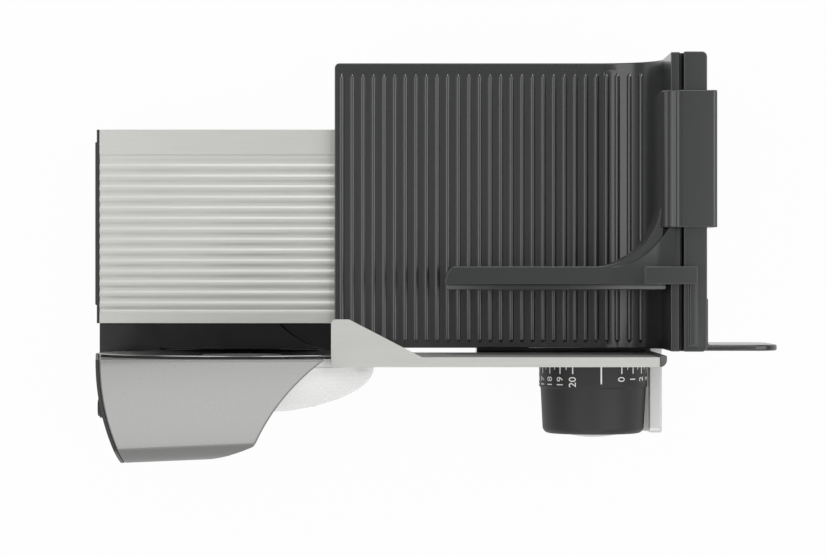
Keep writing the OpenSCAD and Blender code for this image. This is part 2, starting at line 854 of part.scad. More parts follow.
// Blade lock: a cap that turns on the hub, with two finger hollows
module blade_lock() {
    lock_front = 1;
    lock_gap = 0.3;
    hollow_d = 2;
    hollow = lock_d * [1 / 12, 1 / 6];
    color("#303030") at_blade() difference() {
        rod(lock_d / 2, lock_front, blade_dish - lock_gap);
        rod(hub_d / 2 + run_gap, blade_dish - hub_stand - lock_gap, blade_dish);
        for (side = [-1, 1])
            translate([side * (lock_d / 2 - 2 * hollow[0]), 0, lock_front - cut])
                linear_extrude(cut + hollow_d) rect(-hollow, hollow);
    }
}
// Idler: large gear driven by the motor, small gear driving the blade
module idler_gear() {
    color("#e0e0d0") at_idler() difference() {
        union() {
            translate([0, 0, gear_b0]) linear_extrude(face_motor)
                rotate(idler_to_motor + 180 / idler_large_teeth)
                    gear_outline(motor_module, idler_large_teeth);
            translate([0, 0, gear_a0]) linear_extrude(gear_b0 - gear_a0)
                rotate(idler_angle + 180) gear_outline(blade_module, idler_small_teeth);
        }
        rod(idler_pin_r + run_gap, 0, 2 * plate_h1);
    }
}
// Motor: can, end bell, rotor with its shaft, and pinion
module motor_can() {
    can_wall = 2;
    color("#808080") at_motor() difference() {
        rod(motor_d / 2, plate_h1, motor_h1);
        rod(motor_d / 2 - can_wall, plate_h1 + can_wall, motor_h1 + cut);
        rod(shaft_d / 2 + run_gap, 0, motor_h1);
    }
}
module motor_end_bell() {
    bell_t = 2;
    boss_h = 3;
    color("#404040") at_motor() difference() {
        union() {
            rod(motor_d / 2, motor_h1, motor_h1 + bell_t);
            rod(shaft_d + boss_h, motor_h1, motor_h1 + bell_t + boss_h);
        }
        rod(shaft_d / 2 + run_gap, 0, motor_h1 + bell_t + boss_h - cut);
    }
}
module motor_rotor() {
    shaft_front = 0.3;
    shaft_back = 3;
    air = 6;
    color("#a87040") at_motor() {
        rod(shaft_d / 2, gear_b0 - shaft_front, motor_h1 + shaft_back);
        rod(motor_d / 2 - air, plate_h1 + air, motor_h1 - air);
    }
}
module motor_pinion() {
    color("#c8a850") at_motor() difference() {
        translate([0, 0, gear_b0]) linear_extrude(face_motor)
            rotate(idler_to_motor + 180) gear_outline(motor_module, pinion_teeth);
        rod(shaft_d / 2 + run_gap / 3, 0, 2 * plate_h1);
    }
}

// Carriage: ribbed floor that sweeps up into a hollow wall
module carriage_profile() {
    rect([floor_left, floor_under], [wall_out, floor_top]);
    rect([floor_left, skirt_z], [floor_left + mould_wall, floor_top + rim_h]);
    difference() {
        rect([wall_in - floor_fillet, floor_under], [wall_in + cut, floor_top + floor_fillet]);
        translate([wall_in - floor_fillet, floor_top + floor_fillet]) circle(floor_fillet);
    }
    difference() {
        union() {
            rect([wall_in, floor_under], [wall_in + wall_inner_t, wall_inner_top]);
            rect([wall_in + wall_inner_t, skirt_z], [wall_out, wall_top]);
        }
        rect([wall_in + wall_inner_t - groove_w / 2, wall_top - groove_depth],
            [wall_in + wall_inner_t + groove_w / 2, wall_top + cut]);
        rect([wall_in + wall_inner_t + groove_w / 2 + mould_wall, skirt_z - cut],
            [wall_out - mould_wall, wall_top - mould_wall]);
    }
}
// Height of the floor at x, from the flat part up the fillet
function floor_at(x) = let (run = max(0, x - wall_in + floor_fillet))
    floor_top + floor_fillet - sqrt(floor_fillet ^ 2 - run ^ 2);
module floor_rib(x) {
    rib_len = floor_d - 2 * rib_end;
    tip_r = floor_rib_r - floor_rib_h;
    translate([x, floor_back - rib_end, floor_at(x) + floor_rib_h - floor_rib_r]) rotate([90, 0, 0])
        rotate_extrude($fn = 48) polygon([
            [0, 0], [tip_r, 0], [floor_rib_r, floor_rib_r], [floor_rib_r, rib_len - floor_rib_r],
            [tip_r, rib_len], [0, rib_len]
        ]);
}
module carriage_plan() {
    rect([floor_left + corner_r, floor_front], [wall_out - corner_r, floor_back]);
    rect([floor_left, floor_front + corner_r], [wall_out, floor_back - corner_r]);
    for (x = [floor_left + corner_r, wall_out - corner_r])
        for (y = [floor_front + corner_r, floor_back - corner_r])
            translate([x, y]) circle(corner_r);
}
module carriage() {
    color("#484848") {
        intersection() {
            union() {
                along_y(floor_front, floor_back) carriage_profile();
                for (y = [floor_front, floor_back - mould_wall]) {
                    block([floor_left, y, skirt_z], [wall_out, y + mould_wall, floor_under]);
                    block([wall_in + wall_inner_t + groove_w, y, skirt_z],
                        [wall_out, y + mould_wall, wall_top]);
                }
                block([floor_left, floor_back - rim_w, floor_top],
                    [wall_in, floor_back, floor_top + rim_h]);
            }
            translate([0, 0, deck_z]) linear_extrude(wall_top) carriage_plan();
        }
        for (i = [0 : floor_ribs - 1])
            floor_rib(floor_left + rib_first + i * rib_pitch);
        block([ridge_x, floor_front + rim_w, wall_top - ridge_h],
            [ridge_x + ridge_w, floor_front + rim_w + ridge_len, wall_top + ridge_h]);
    }
}
// Guide shoe: a claw under the floor that holds the rear rail of the base plate
module guide_shoe(x) {
    hook_in = base_back - rail_d + slide_gap;
    hook_out = base_back - bead_d - slide_gap;
    shoe_low = rail_bottom - slide_gap - shoe_h;
    color("#e8e8e0") along_x(x, x + shoe_len) {
        rect([base_back - shoe_in, deck_z + slide_gap], [base_back + shoe_d, floor_under]);
        rect([base_back + slide_gap, shoe_low], [base_back + shoe_d, floor_under]);
        rect([hook_in, shoe_low], [base_back + shoe_d, rail_bottom - slide_gap]);
        rect([hook_in, shoe_low], [hook_out, deck_z - profile_wall - slide_gap]);
    }
}
module guide_shoe_left() {
    guide_shoe(floor_left + shoe_len / 2);
}
module guide_shoe_right() {
    guide_shoe(wall_in - shoe_len);
}
// Front glide: a strip under the floor that runs on the front strip of the base plate
module front_glide() {
    color("#e8e8e0") block([floor_left + shoe_len / 2, base_front, skirt_z],
        [wall_in, wave_front, floor_under]);
}
// Thumb guard: a fin at the front end of the wall, on a flange along its outside
module thumb_guard() {
    tip_r = 14;
    lift = 2;
    low = floor_top + lift;
    color("#404040") {
        along_y(floor_front, floor_front + guard_t) {
            rect([wall_out, low], [wall_out + guard_len - tip_r, low + guard_h]);
            rect([wall_out, low + tip_r], [wall_out + guard_len, low + guard_h - tip_r]);
            for (z = [low + tip_r, low + guard_h - tip_r])
                translate([wall_out + guard_len - tip_r, z]) circle(tip_r);
        }
        block([wall_out, floor_front, low],
            [wall_out + guard_flange, floor_front + guard_flange_d, low + guard_h]);
    }
}

// Remnant holder: saddle on the carriage wall, curved web and toothed pusher plate
module pusher_plan() {
    intersection() {
        rect([pusher_left, pusher_front], [holder_in, pusher_back]);
        union() {
            translate([pusher_left + pusher_nose, pusher_front]) circle(pusher_nose);
            rect([pusher_left + pusher_nose, pusher_front], [holder_in, pusher_back]);
        }
    }
}
module teeth_plan() {
    half = tooth_pitch / 2;
    for (i = [1 : floor((pusher_len - floor_fillet - pusher_nose) / tooth_pitch)])
        translate([pusher_left + pusher_nose + i * tooth_pitch, pusher_front])
            polygon([[-half, cut], [-half, 0], [0, -tooth_d], [half, 0], [half, cut]]);
}
// Corner between the pusher plate and the saddle, hollow-curved to the back
module corner_plan(r) {
    difference() {
        rect([web_centre[0], pusher_back - cut], [leg_in + cut, web_centre[1]]);
        translate(web_centre) circle(r);
    }
}
// Saddle section: rounded shoulder over the wall's lower inner layer, and two legs
module saddle_profile() {
    shoulder = wall_in + wall_inner_t - leg_in;
    centre = [leg_in + shoulder, saddle_top - shoulder];
    rect([leg_in, leg_bottom], [holder_in, saddle_top - shoulder]);
    difference() {
        union() {
            translate(centre) circle(shoulder);
            rect([leg_in + shoulder, saddle_low], [outer_leg_x + saddle_t, saddle_top]);
        }
        rect([leg_in, saddle_top - 3 * shoulder], [outer_leg_x, saddle_top - shoulder]);
        rect([holder_in, saddle_top - 2 * shoulder], [outer_leg_x, wall_inner_top + slide_gap]);
        rect([wall_in + wall_inner_t - slide_gap, saddle_top - 2 * shoulder], [outer_leg_x, saddle_low]);
        for (a = [112, 140])
            translate(centre + (shoulder + groove_w / 4) * [cos(a), sin(a)]) circle(groove_w / 2);
    }
    rect([outer_leg_x, saddle_top - outer_leg_h], [outer_leg_x + saddle_t, saddle_top]);
}
module remnant_holder() {
    color("#383838") {
        difference() {
            union() {
                translate([0, 0, pusher_bottom]) linear_extrude(pusher_h) pusher_plan();
                translate([0, 0, pusher_bottom]) linear_extrude(pusher_h - tooth_drop) teeth_plan();
            }
            along_y(pusher_front - 2 * tooth_d, pusher_front + 2 * pusher_t) difference() {
                rect([wall_in - floor_fillet, floor_top - cut], [wall_in, floor_top + floor_fillet]);
                translate([wall_in - floor_fillet, floor_top + floor_fillet])
                    circle(floor_fillet - floor_rib_h - slide_gap);
            }
        }
        translate([0, 0, leg_bottom]) linear_extrude(pusher_top - leg_bottom) difference() {
            corner_plan(web_r);
            corner_plan(web_r + web_t);
        }
        translate([0, 0, pusher_top - web_t]) linear_extrude(web_t) corner_plan(web_r);
        along_y(saddle_front, saddle_back) saddle_profile();
        block([leg_in - pusher_t, pusher_front, pusher_top - cut],
            [holder_in, pusher_back, saddle_top + ridge_h]);
        block([leg_in - pusher_t, pusher_front, hook_low],
            [ridge_x + ridge_w, pusher_back, saddle_top + ridge_h]);
    }
}

// Stop plate: folded aluminium sheet, cut round the blade, with the guard wing on top
module wing_plan() {
    translate([plate_left, plate_face]) {
        polygon([
            [0, -plate_t / 2], [0, wing_d - wing_corner_r], [wing_corner_r, wing_d], [wing_flat, wing_d],
            [wing_len, 0], [wing_len, -plate_t / 2]
        ]);
        translate([wing_corner_r, wing_d - wing_corner_r]) circle(wing_corner_r);
    }
}
module stop_plate() {
    color("#c8c8c4") difference() {
        union() {
            block([plate_left, plate_back, plate_bottom], [plate_right, plate_face, plate_top]);
            for (z = [plate_bottom, plate_top - plate_t])
                block([plate_left, plate_face - plate_fold, z], [plate_right, plate_face, z + plate_t]);
            translate([0, 0, plate_top - plate_t]) linear_extrude(plate_t) wing_plan();
        }
        translate([0, wing_d, 0]) at_blade() rod(blade_d / 2 + blade_gap, -wing_d, 3 * wing_d);
    }
}
module plate_end_cap() {
    cap_w = 4;
    cap_lip = 1;
    cap_back = plate_face + cap_lip;
    color("#505050") translate([plate_right, 0, plate_bottom]) linear_extrude(plate_top - plate_bottom) {
        rect([0, plate_face - plate_fold + cap_w], [cap_w, cap_back]);
        intersection() {
            translate([0, plate_face - plate_fold + cap_w]) circle(cap_w);
            rect([0, plate_face - plate_fold], [cap_w, cap_back]);
        }
    }
}
// Carrier: leg that joins the stop plate to its guide rods
module plate_carrier() {
    color("#303030") difference() {
        block([rod_x2 - rod_wall, carrier_front, rod_z - rod_wall],
            [rod_x1 + rod_wall, plate_back, carrier_top]);
        block([rod_x2 - rod_wall - cut, plate_face - plate_fold - run_gap, plate_bottom - run_gap],
            [rod_x1 + rod_wall + cut, plate_back + cut, plate_bottom + plate_t + run_gap]);
        for (x = [rod_x1, rod_x2])
            translate([x, carrier_front, rod_z]) rotate([-90, 0, 0])
                rod(rod_d / 2 + run_gap / 3, rod_wall / 4, carrier_t + cut);
    }
}
module guide_rod(x) {
    color("#b0b0b0") translate([x, carrier_front, rod_z]) rotate([-90, 0, 0])
        rod(rod_d / 2, rod_wall / 4, yoke_front + yoke_t - carrier_front);
}
module guide_rod_left() {
    guide_rod(rod_x2);
}
module guide_rod_right() {
    guide_rod(rod_x1);
}
// Yoke: ties the guide rods to the spindle's nut
module plate_yoke() {
    nut_wall = 5;
    nut_r = spindle_d / 2 + nut_wall;
    color("#b89040") difference() {
        union() {
            block([rod_x2 - rod_wall, yoke_front, rod_z - rod_wall],
                [knob_x + nut_r, yoke_front + yoke_t, rod_z + rod_wall]);
            translate([knob_x, yoke_front, knob_z]) rotate([-90, 0, 0]) cylinder(r = nut_r, h = yoke_t);
        }
        translate([knob_x, yoke_front - cut, knob_z]) rotate([-90, 0, 0])
            rod(spindle_d / 2 + run_gap, 0, yoke_t + 2 * cut);
        for (x = [rod_x1, rod_x2])
            translate([x, yoke_front - cut, rod_z]) rotate([-90, 0, 0])
                rod(rod_d / 2 + run_gap / 3, 0, yoke_t + 2 * cut);
    }
}

// Knob: numbered ring and tapered grip, hollow behind
module knob() {
    ring_r = knob_d / 2;
    grip_r = knob_grip_d / 2;
    groove = 0.8;
    edge_r = 4;
    wall = mould_wall + edge_r / 4;
    boss_r = spindle_d / 2 + bush_wall;
    bore_r = spindle_d / 2 + run_gap / 3;
    color("#3a3a3a") at_knob() rotate_extrude($fn = 128) difference() {
        union() {
            polygon([
                [bore_r, 0], [ring_r, 0], [ring_r, knob_ring], [ring_r - groove, knob_ring + groove / 2],
                [grip_r, knob_len - edge_r], [grip_r - edge_r, knob_len], [bore_r, knob_len]
            ]);
            intersection() {
                translate([grip_r - edge_r, knob_len - edge_r]) circle(edge_r);
                rect([0, 0], [ring_r, knob_len]);
            }
        }
        rect([boss_r, -cut], [grip_r - wall, knob_len - 2 * wall]);
    }
}
module knob_cap() {
    cap_r = 18;
    dome_h = 2.4;
    dome_r = (cap_r ^ 2 + dome_h ^ 2) / (2 * dome_h);
    color("#b0b0b0") at_knob() translate([0, 0, knob_len]) rotate_extrude() intersection() {
        translate([0, dome_h - dome_r]) circle(dome_r, $fn = 192);
        rect([0, 0], [cap_r, dome_h]);
    }
}
module knob_spindle() {
    color("#c0c0c0") at_knob() rod(spindle_d / 2, knob_back - yoke_front - yoke_t - rod_wall, knob_len);
}

base_plate();
left_end_cap();
right_end_cap();
base_body();
front_arm();
knob_housing();
rubber_feet();
cord_gland();
motor_housing();
side_cover();
gear_case();
gear_plate();
blade_axle();
idler_pin();
motor_can();
motor_end_bell();
switch_body();
spindle_bush();
blade();
blade_gear();
blade_lock();
idler_gear();
motor_rotor();
motor_pinion();
switch_button();
carriage();
guide_shoe_left();
guide_shoe_right();
front_glide();
thumb_guard();
remnant_holder();
stop_plate();
plate_end_cap();
plate_carrier();
guide_rod_left();
guide_rod_right();
plate_yoke();
knob();
knob_cap();
knob_spindle();
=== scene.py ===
import json
import math

import bmesh
import bpy
from mathutils import Matrix, Vector

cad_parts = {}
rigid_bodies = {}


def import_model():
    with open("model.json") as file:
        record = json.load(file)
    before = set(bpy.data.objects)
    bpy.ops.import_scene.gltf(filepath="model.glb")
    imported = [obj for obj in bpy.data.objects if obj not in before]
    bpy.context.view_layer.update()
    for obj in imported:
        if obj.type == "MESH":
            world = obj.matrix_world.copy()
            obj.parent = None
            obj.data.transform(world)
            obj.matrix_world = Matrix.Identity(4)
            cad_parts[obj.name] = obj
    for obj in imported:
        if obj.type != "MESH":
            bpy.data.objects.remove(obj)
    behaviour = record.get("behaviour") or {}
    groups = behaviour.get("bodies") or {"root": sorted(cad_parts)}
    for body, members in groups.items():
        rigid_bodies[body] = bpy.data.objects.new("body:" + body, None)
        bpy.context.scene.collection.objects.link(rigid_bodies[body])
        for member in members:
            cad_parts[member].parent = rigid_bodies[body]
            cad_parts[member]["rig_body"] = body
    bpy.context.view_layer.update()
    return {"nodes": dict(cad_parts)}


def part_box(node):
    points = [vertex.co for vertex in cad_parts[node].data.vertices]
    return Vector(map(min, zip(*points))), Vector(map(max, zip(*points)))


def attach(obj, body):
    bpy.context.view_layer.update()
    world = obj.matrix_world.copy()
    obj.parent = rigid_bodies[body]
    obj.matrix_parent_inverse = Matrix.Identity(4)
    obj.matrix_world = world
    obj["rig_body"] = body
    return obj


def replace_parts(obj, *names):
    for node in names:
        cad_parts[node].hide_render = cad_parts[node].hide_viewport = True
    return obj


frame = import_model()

# Base plate: an extruded aluminium profile whose ribs run along the carriage's travel.
# Its face is blasted and anodised, and the drawing lines of the die still show along the ribs.
MM = 0.001
WELD = 1e-6
FLAT = math.radians(0.5)


def plain_finish(name, colour, metal, rough, shine=0.5):
    made = bpy.data.materials.new(name)
    made.use_nodes = True
    shader = made.node_tree.nodes["Principled BSDF"]
    shader.inputs["Base Color"].default_value = (*colour, 1)
    shader.inputs["Metallic"].default_value = metal
    shader.inputs["Roughness"].default_value = rough
    shader.inputs["Specular IOR Level"].default_value = shine
    return made


def grained_finish(name, dark, light, rough, stretch, depth, detail=2, metal=0, shine=0.5):
    """A finish whose colour, roughness and height vary with noise on Object coordinates.

    A larger stretch gives a finer grain along that axis, and depth is the height of the relief."""
    noise_low, noise_high = 0.3, 0.7
    relief_share = 0.6
    middle = [(low + high) / 2 for low, high in zip(dark, light)]
    made = plain_finish(name, middle, metal, sum(rough) / 2, shine)
    nodes, links = made.node_tree.nodes, made.node_tree.links
    shader = nodes["Principled BSDF"]
    place = nodes.new("ShaderNodeTexCoord")
    drawn = nodes.new("ShaderNodeMapping")
    drawn.inputs["Scale"].default_value = stretch
    noise = nodes.new("ShaderNodeTexNoise")
    noise.inputs["Scale"].default_value = 1
    noise.inputs["Detail"].default_value = detail
    tint = nodes.new("ShaderNodeValToRGB")
    for stop, position, colour in zip(tint.color_ramp.elements, (noise_low, noise_high), (dark, light)):
        stop.position = position
        stop.color = (*colour, 1)
    sheen = nodes.new("ShaderNodeMapRange")
    sheen.inputs["From Min"].default_value = noise_low
    sheen.inputs["From Max"].default_value = noise_high
    sheen.inputs["To Min"].default_value = rough[0]
    sheen.inputs["To Max"].default_value = rough[1]
    relief = nodes.new("ShaderNodeBump")
    relief.inputs["Strength"].default_value = relief_share
    relief.inputs["Distance"].default_value = depth
    links.new(place.outputs["Object"], drawn.inputs["Vector"])
    links.new(drawn.outputs["Vector"], noise.inputs["Vector"])
    links.new(noise.outputs["Fac"], tint.inputs["Fac"])
    links.new(noise.outputs["Fac"], sheen.inputs["Value"])
    links.new(noise.outputs["Fac"], relief.inputs["Height"])
    links.new(tint.outputs["Color"], shader.inputs["Base Color"])
    links.new(sheen.outputs["Result"], shader.inputs["Roughness"])
    links.new(relief.outputs["Normal"], shader.inputs["Normal"])
    return made


def finished(bm, name, body, finish, smooth=38):
    """Makes a piece of the bmesh that rides on body. Edges of more than smooth degrees stay sharp."""
    mesh = bpy.data.meshes.new(name)
    bm.to_mesh(mesh)
    bm.free()
    mesh.shade_smooth()
    mesh.set_sharp_from_angle(angle=math.radians(smooth))
    mesh.materials.append(finish)
    piece = bpy.data.objects.new(name, mesh)
    bpy.context.scene.collection.objects.link(piece)
    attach(piece, body)
    return piece


def round_edges(bm, edges, edge, segments=3, clamp=False):
    bmesh.ops.bevel(bm, geom=edges, offset=edge, offset_type="OFFSET", affect="EDGES",
                    segments=segments, profile=0.5, material=-1, clamp_overlap=clamp)


def dress(node, finish, edge, sharp=30, weld=0.1 * MM, kept=None, shaped=None):
    """Replaces a node by its solid with the edges of more than sharp degrees rounded by edge.

    shaped changes the form first, edges shorter than weld then close, and kept picks the edges to round."""
    bm = bmesh.new()
    bm.from_mesh(frame["nodes"][node].data)
    bmesh.ops.remove_doubles(bm, verts=bm.verts, dist=WELD)
    bmesh.ops.dissolve_limit(bm, angle_limit=FLAT, verts=bm.verts, edges=bm.edges)
    if shaped:
        shaped(bm)
    bmesh.ops.dissolve_degenerate(bm, dist=weld, edges=bm.edges)
    corners = [e for e in bm.edges if e.is_manifold and e.calc_face_angle() > math.radians(sharp)]
    if kept:
        corners = [e for e in corners if kept(e)]
    round_edges(bm, corners, edge)
    piece = finished(bm, node + "_dressed", frame["nodes"][node]["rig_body"], finish)
    piece.modifiers.new("level_faces", "WEIGHTED_NORMAL").keep_sharp = True
    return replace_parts(piece, node)


anodised = grained_finish("anodised_aluminium", (0.508, 0.508, 0.487), (0.532, 0.532, 0.511),
                          rough=(0.38, 0.47), stretch=(30, 1500, 1500), depth=1e-6, detail=3, metal=0.4)
plate_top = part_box("base_plate")[1].z
wave_start, wave_end = -31.3 * MM, 64 * MM
wave_shift, wave_ease = 1.56 * MM, 4 * MM
wave_low = plate_top - 1.2 * MM
channel_top = plate_top - 6 * MM


def set_wave(bm):
    """Sets the wave of the ribs a quarter of a rib nearer to the front, and eases it in at both ends."""
    for v in bm.verts:
        inside = min(v.co.y - wave_start, wave_end - v.co.y) / wave_ease
        if inside > 0 and v.co.z > wave_low:
            v.co.y -= wave_shift * min(1, inside)


def near_face(e):
    """Edges close to the face. Those of the channels below it stay sharp."""
    return min(v.co.z for v in e.verts) > channel_top


dress("base_plate", anodised, edge=0.25 * MM, weld=0.05 * MM, kept=near_face, shaped=set_wave)

# End caps of the profile: black plastic mouldings that are pushed into the profile's channels.
# Their faces have the fine spark-eroded texture of a moulding tool.
black_moulded = grained_finish("black_moulding", (0.019, 0.019, 0.02), (0.025, 0.025, 0.026),
                               rough=(0.42, 0.54), stretch=(2500,) * 3, depth=4e-6, shine=0.4)
for cap in ("left_end_cap", "right_end_cap"):
    dress(cap, black_moulded, edge=0.4 * MM)

# Body and knob housing: black gloss plastic, each moulded in one piece.
# The body carries the motor housing and closes the deck beside the blade, with an arc-shaped step.
black_gloss = grained_finish("black_gloss", (0.003, 0.003, 0.0035), (0.005, 0.005, 0.0055),
                             rough=(0.09, 0.16), stretch=(60,) * 3, depth=2e-6, detail=4, shine=0.4)
for shell in ("base_body", "knob_housing"):
    dress(shell, black_gloss, edge=0.5 * MM, weld=0.3 * MM)

# Feet and cord gland: mouldings of soft black rubber, dull and slightly dusty.
# The feet are pushed in from below, and the gland sits in the body's left face.
rubber = grained_finish("black_rubber", (0.022, 0.022, 0.022), (0.042, 0.042, 0.041),
                        rough=(0.75, 0.92), stretch=(900,) * 3, depth=4e-5, detail=4, shine=0.3)
dress("rubber_feet", rubber, edge=1.2 * MM)
dress("cord_gland", rubber, edge=0.5 * MM)

# Front arm: a silver-painted casting beside the knob, wider toward the table.
# The satin paint has fine metal flakes in it.
silver_paint = grained_finish("silver_paint", (0.63, 0.63, 0.618), (0.67, 0.67, 0.658),
                              rough=(0.33, 0.4), stretch=(3000,) * 3, depth=1e-6, metal=0.35)
dress("front_arm", silver_paint, edge=0.8 * MM)

# Inner works: steel plate, axle, pin, rods and motor, nylon gears, shoes and glide, and brass pinion,
# bush and yoke, with black mouldings that hold them. They sit inside the housings and show only
# through the openings, so their solids stay as they are.
turned_steel = grained_finish("turned_steel", (0.52, 0.51, 0.50), (0.62, 0.61, 0.60),
                              rough=(0.24, 0.38), stretch=(300, 2500, 300), depth=1e-5, detail=3, metal=1)
pale_nylon = grained_finish("pale_nylon", (0.74, 0.73, 0.66), (0.80, 0.79, 0.73),
                            rough=(0.36, 0.48), stretch=(700,) * 3, depth=1e-5, detail=3)
bush_brass = grained_finish("bush_brass", (0.66, 0.49, 0.22), (0.74, 0.57, 0.29),
                            rough=(0.26, 0.4), stretch=(400, 2500, 400), depth=1e-5, detail=3, metal=1)


def coat(node, finish):
    """Gives a node's own solid a finish."""
    slots = frame["nodes"][node].data.materials
    slots.clear()
    slots.append(finish)


for finish, inner_nodes in (
        (turned_steel, ("gear_plate", "blade_axle", "idler_pin", "motor_can", "motor_rotor",
                        "guide_rod_left", "guide_rod_right", "knob_spindle")),
        (pale_nylon, ("blade_gear", "idler_gear", "guide_shoe_left", "guide_shoe_right", "front_glide")),
        (bush_brass, ("motor_pinion", "spindle_bush", "plate_yoke")),
        (black_moulded, ("motor_end_bell", "switch_body", "plate_carrier"))):
    for inner in inner_nodes:
        coat(inner, finish)

# Motor housing: one shell with a sloped top and a bulged front, screwed to the body from below.
# Its metallic paint is darker than the arm's. A thin black cover is snapped on its left side,
# with the button of the switch in it.
housing_paint = grained_finish("housing_paint", (0.254, 0.254, 0.249), (0.276, 0.276, 0.271),
                               rough=(0.27, 0.34), stretch=(3000,) * 3, depth=5e-7, metal=0.6, shine=0.2)
# Its gloss is dimmed at a flat angle, so that the bulged front stays darker than the top.
dim_gloss = (0.25, 0.25, 0.25, 1)
housing_paint.node_tree.nodes["Principled BSDF"].inputs["Specular Tint"].default_value = dim_gloss
button_low, button_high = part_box("switch_button")
button_spot = (button_low + button_high) / 2
button_clear = 14 * MM


def off_button(e):
    """Outward edges, apart from those round the button of the switch."""
    return e.is_convex and (e.verts[0].co - button_spot).length > button_clear


dress("motor_housing", housing_paint, edge=1.2 * MM, sharp=24, weld=0.5 * MM,
      kept=off_button)
dress("side_cover", black_moulded, edge=0.3 * MM, sharp=40)
dress("switch_button", black_moulded, edge=0.35 * MM)

# Gear case: a pale painted bowl behind the blade that turns the cut slices away.
# It is screwed to the gear plate from inside, so its face is plain.
pale_paint = grained_finish("pale_paint", (0.807, 0.807, 0.797), (0.813, 0.813, 0.803),
                            rough=(0.25, 0.28), stretch=(500,) * 3, depth=1e-8)
coat("gear_case", pale_paint)

# Blade: hardened stainless steel, pressed to a dish and ground round its edge.
# The grinding leaves fine rings about the blade's axis.
blade_low, blade_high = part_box("blade")
blade_hub = (blade_low + blade_high) / 2
steel_rough = (0.22, 0.32)
ground_steel = plain_finish("ground_steel", (0.5, 0.5, 0.5), 1, sum(steel_rough) / 2)
steel_nodes, steel_links = ground_steel.node_tree.nodes, ground_steel.node_tree.links
steel_shader = steel_nodes["Principled BSDF"]
steel_place = steel_nodes.new("ShaderNodeTexCoord")
steel_centre = steel_nodes.new("ShaderNodeMapping")
steel_centre.inputs["Location"].default_value = -blade_hub
steel_rings = steel_nodes.new("ShaderNodeTexWave")
steel_rings.wave_type = "RINGS"
steel_rings.rings_direction = "Y"
steel_rings.inputs["Scale"].default_value = 700
steel_rings.inputs["Distortion"].default_value = 1.5
steel_rings.inputs["Detail"].default_value = 3
steel_sheen = steel_nodes.new("ShaderNodeMapRange")
steel_sheen.inputs["To Min"].default_value = steel_rough[0]
steel_sheen.inputs["To Max"].default_value = steel_rough[1]
steel_relief = steel_nodes.new("ShaderNodeBump")
steel_relief.inputs["Strength"].default_value = 0.4
steel_relief.inputs["Distance"].default_value = 5e-7
steel_links.new(steel_place.outputs["Object"], steel_centre.inputs["Vector"])
steel_links.new(steel_centre.outputs["Vector"], steel_rings.inputs["Vector"])
steel_links.new(steel_rings.outputs["Fac"], steel_sheen.inputs["Value"])
steel_links.new(steel_rings.outputs["Fac"], steel_relief.inputs["Height"])
steel_links.new(steel_sheen.outputs["Result"], steel_shader.inputs["Roughness"])
steel_links.new(steel_relief.outputs["Normal"], steel_shader.inputs["Normal"])
coat("blade", ground_steel)

# Blade lock: a black plastic cap on the blade's hub, moulded with two finger hollows.
# It is turned by hand to free the blade.
dress("blade_lock", black_moulded, edge=0.6 * MM)

# Stop plate: folded aluminium sheet, anodised, with the guard wing standing over the carriage.
# The grey cap on its right end covers the cut edge.
sheet_anodised = grained_finish("sheet_anodised", (0.47, 0.47, 0.451), (0.49, 0.49, 0.471),
                                rough=(0.38, 0.47), stretch=(30, 1500, 1500), depth=6e-7, detail=3, metal=0.4)
wing_tip, wing_tip_reach = -5.5 * MM, 0.05 * MM
wing_low = 150 * MM
wing_cut = 3.6 * MM


def trim_wing(bm):
    """Brings the low end of the wing's slanted edge nearer to the blade."""
    for v in bm.verts:
        if abs(v.co.x - wing_tip) < wing_tip_reach and v.co.z > wing_low:
            v.co.x -= wing_cut


dress("stop_plate", sheet_anodised, edge=0.4 * MM, weld=0.3 * MM, shaped=trim_wing)
grey_moulded = grained_finish("grey_moulding", (0.082, 0.082, 0.082), (0.098, 0.098, 0.098),
                              rough=(0.36, 0.46), stretch=(2500,) * 3, depth=4e-6, shine=0.4)
dress("plate_end_cap", grey_moulded, edge=0.8 * MM)

# Thickness knob: black plastic with a numbered ring, and a pale cap pressed in its end.
# Lines and numbers from 0 to 20 millimetres are printed on the ring in white.
knob_black = grained_finish("knob_black", (0.0175, 0.0175, 0.0175), (0.0205, 0.0205, 0.0205),
                            rough=(0.5, 0.6), stretch=(2200,) * 3, depth=2e-6)
dress("knob", knob_black, edge=0.6 * MM, sharp=25)
pale_plastic = grained_finish("pale_plastic", (0.53, 0.53, 0.52), (0.57, 0.57, 0.56),
                              rough=(0.32, 0.4), stretch=(1500,) * 3, depth=2e-6)
dress("knob_cap", pale_plastic, edge=0.3 * MM)
white_ink = grained_finish("white_ink", (0.82, 0.82, 0.80), (0.86, 0.86, 0.84),
                           rough=(0.45, 0.55), stretch=(4000,) * 3, depth=1e-6)
knob_low, knob_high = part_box("knob")
ring_r = (knob_high.x - knob_low.x) / 2
ring_axis = Vector(((knob_low.x + knob_high.x) / 2, knob_high.y, (knob_low.z + knob_high.z) / 2))
ink_t = 0.06 * MM
zero_angle, mm_angle, mark_angle = 28.4, 15.33, 5.4
scale_end = 20
line_start = 1 * MM
mark_end, mark_w = 14.8 * MM, 0.9 * MM
whole_end, whole_w = 8.8 * MM, 0.75 * MM
half_end, half_w = 6.4 * MM, 0.5 * MM
digit_size, digit_edge = 6.5 * MM, 10.4 * MM
slice_h, slices = 0.5 * MM, 6


def on_ring(angle):
    """Place on the top of the ring at an angle from straight up, positive to the right."""
    return Matrix.Translation(ring_axis) @ Matrix.Rotation(math.radians(angle), 4, "Y")


def print_line(bm, angle, end, width):
    size = Matrix.Diagonal((width, end - line_start, 2 * ink_t, 1))
    spot = Matrix.Translation((0, -(line_start + end) / 2, ring_r))
    bmesh.ops.create_cube(bm, size=1, matrix=on_ring(angle) @ spot @ size)


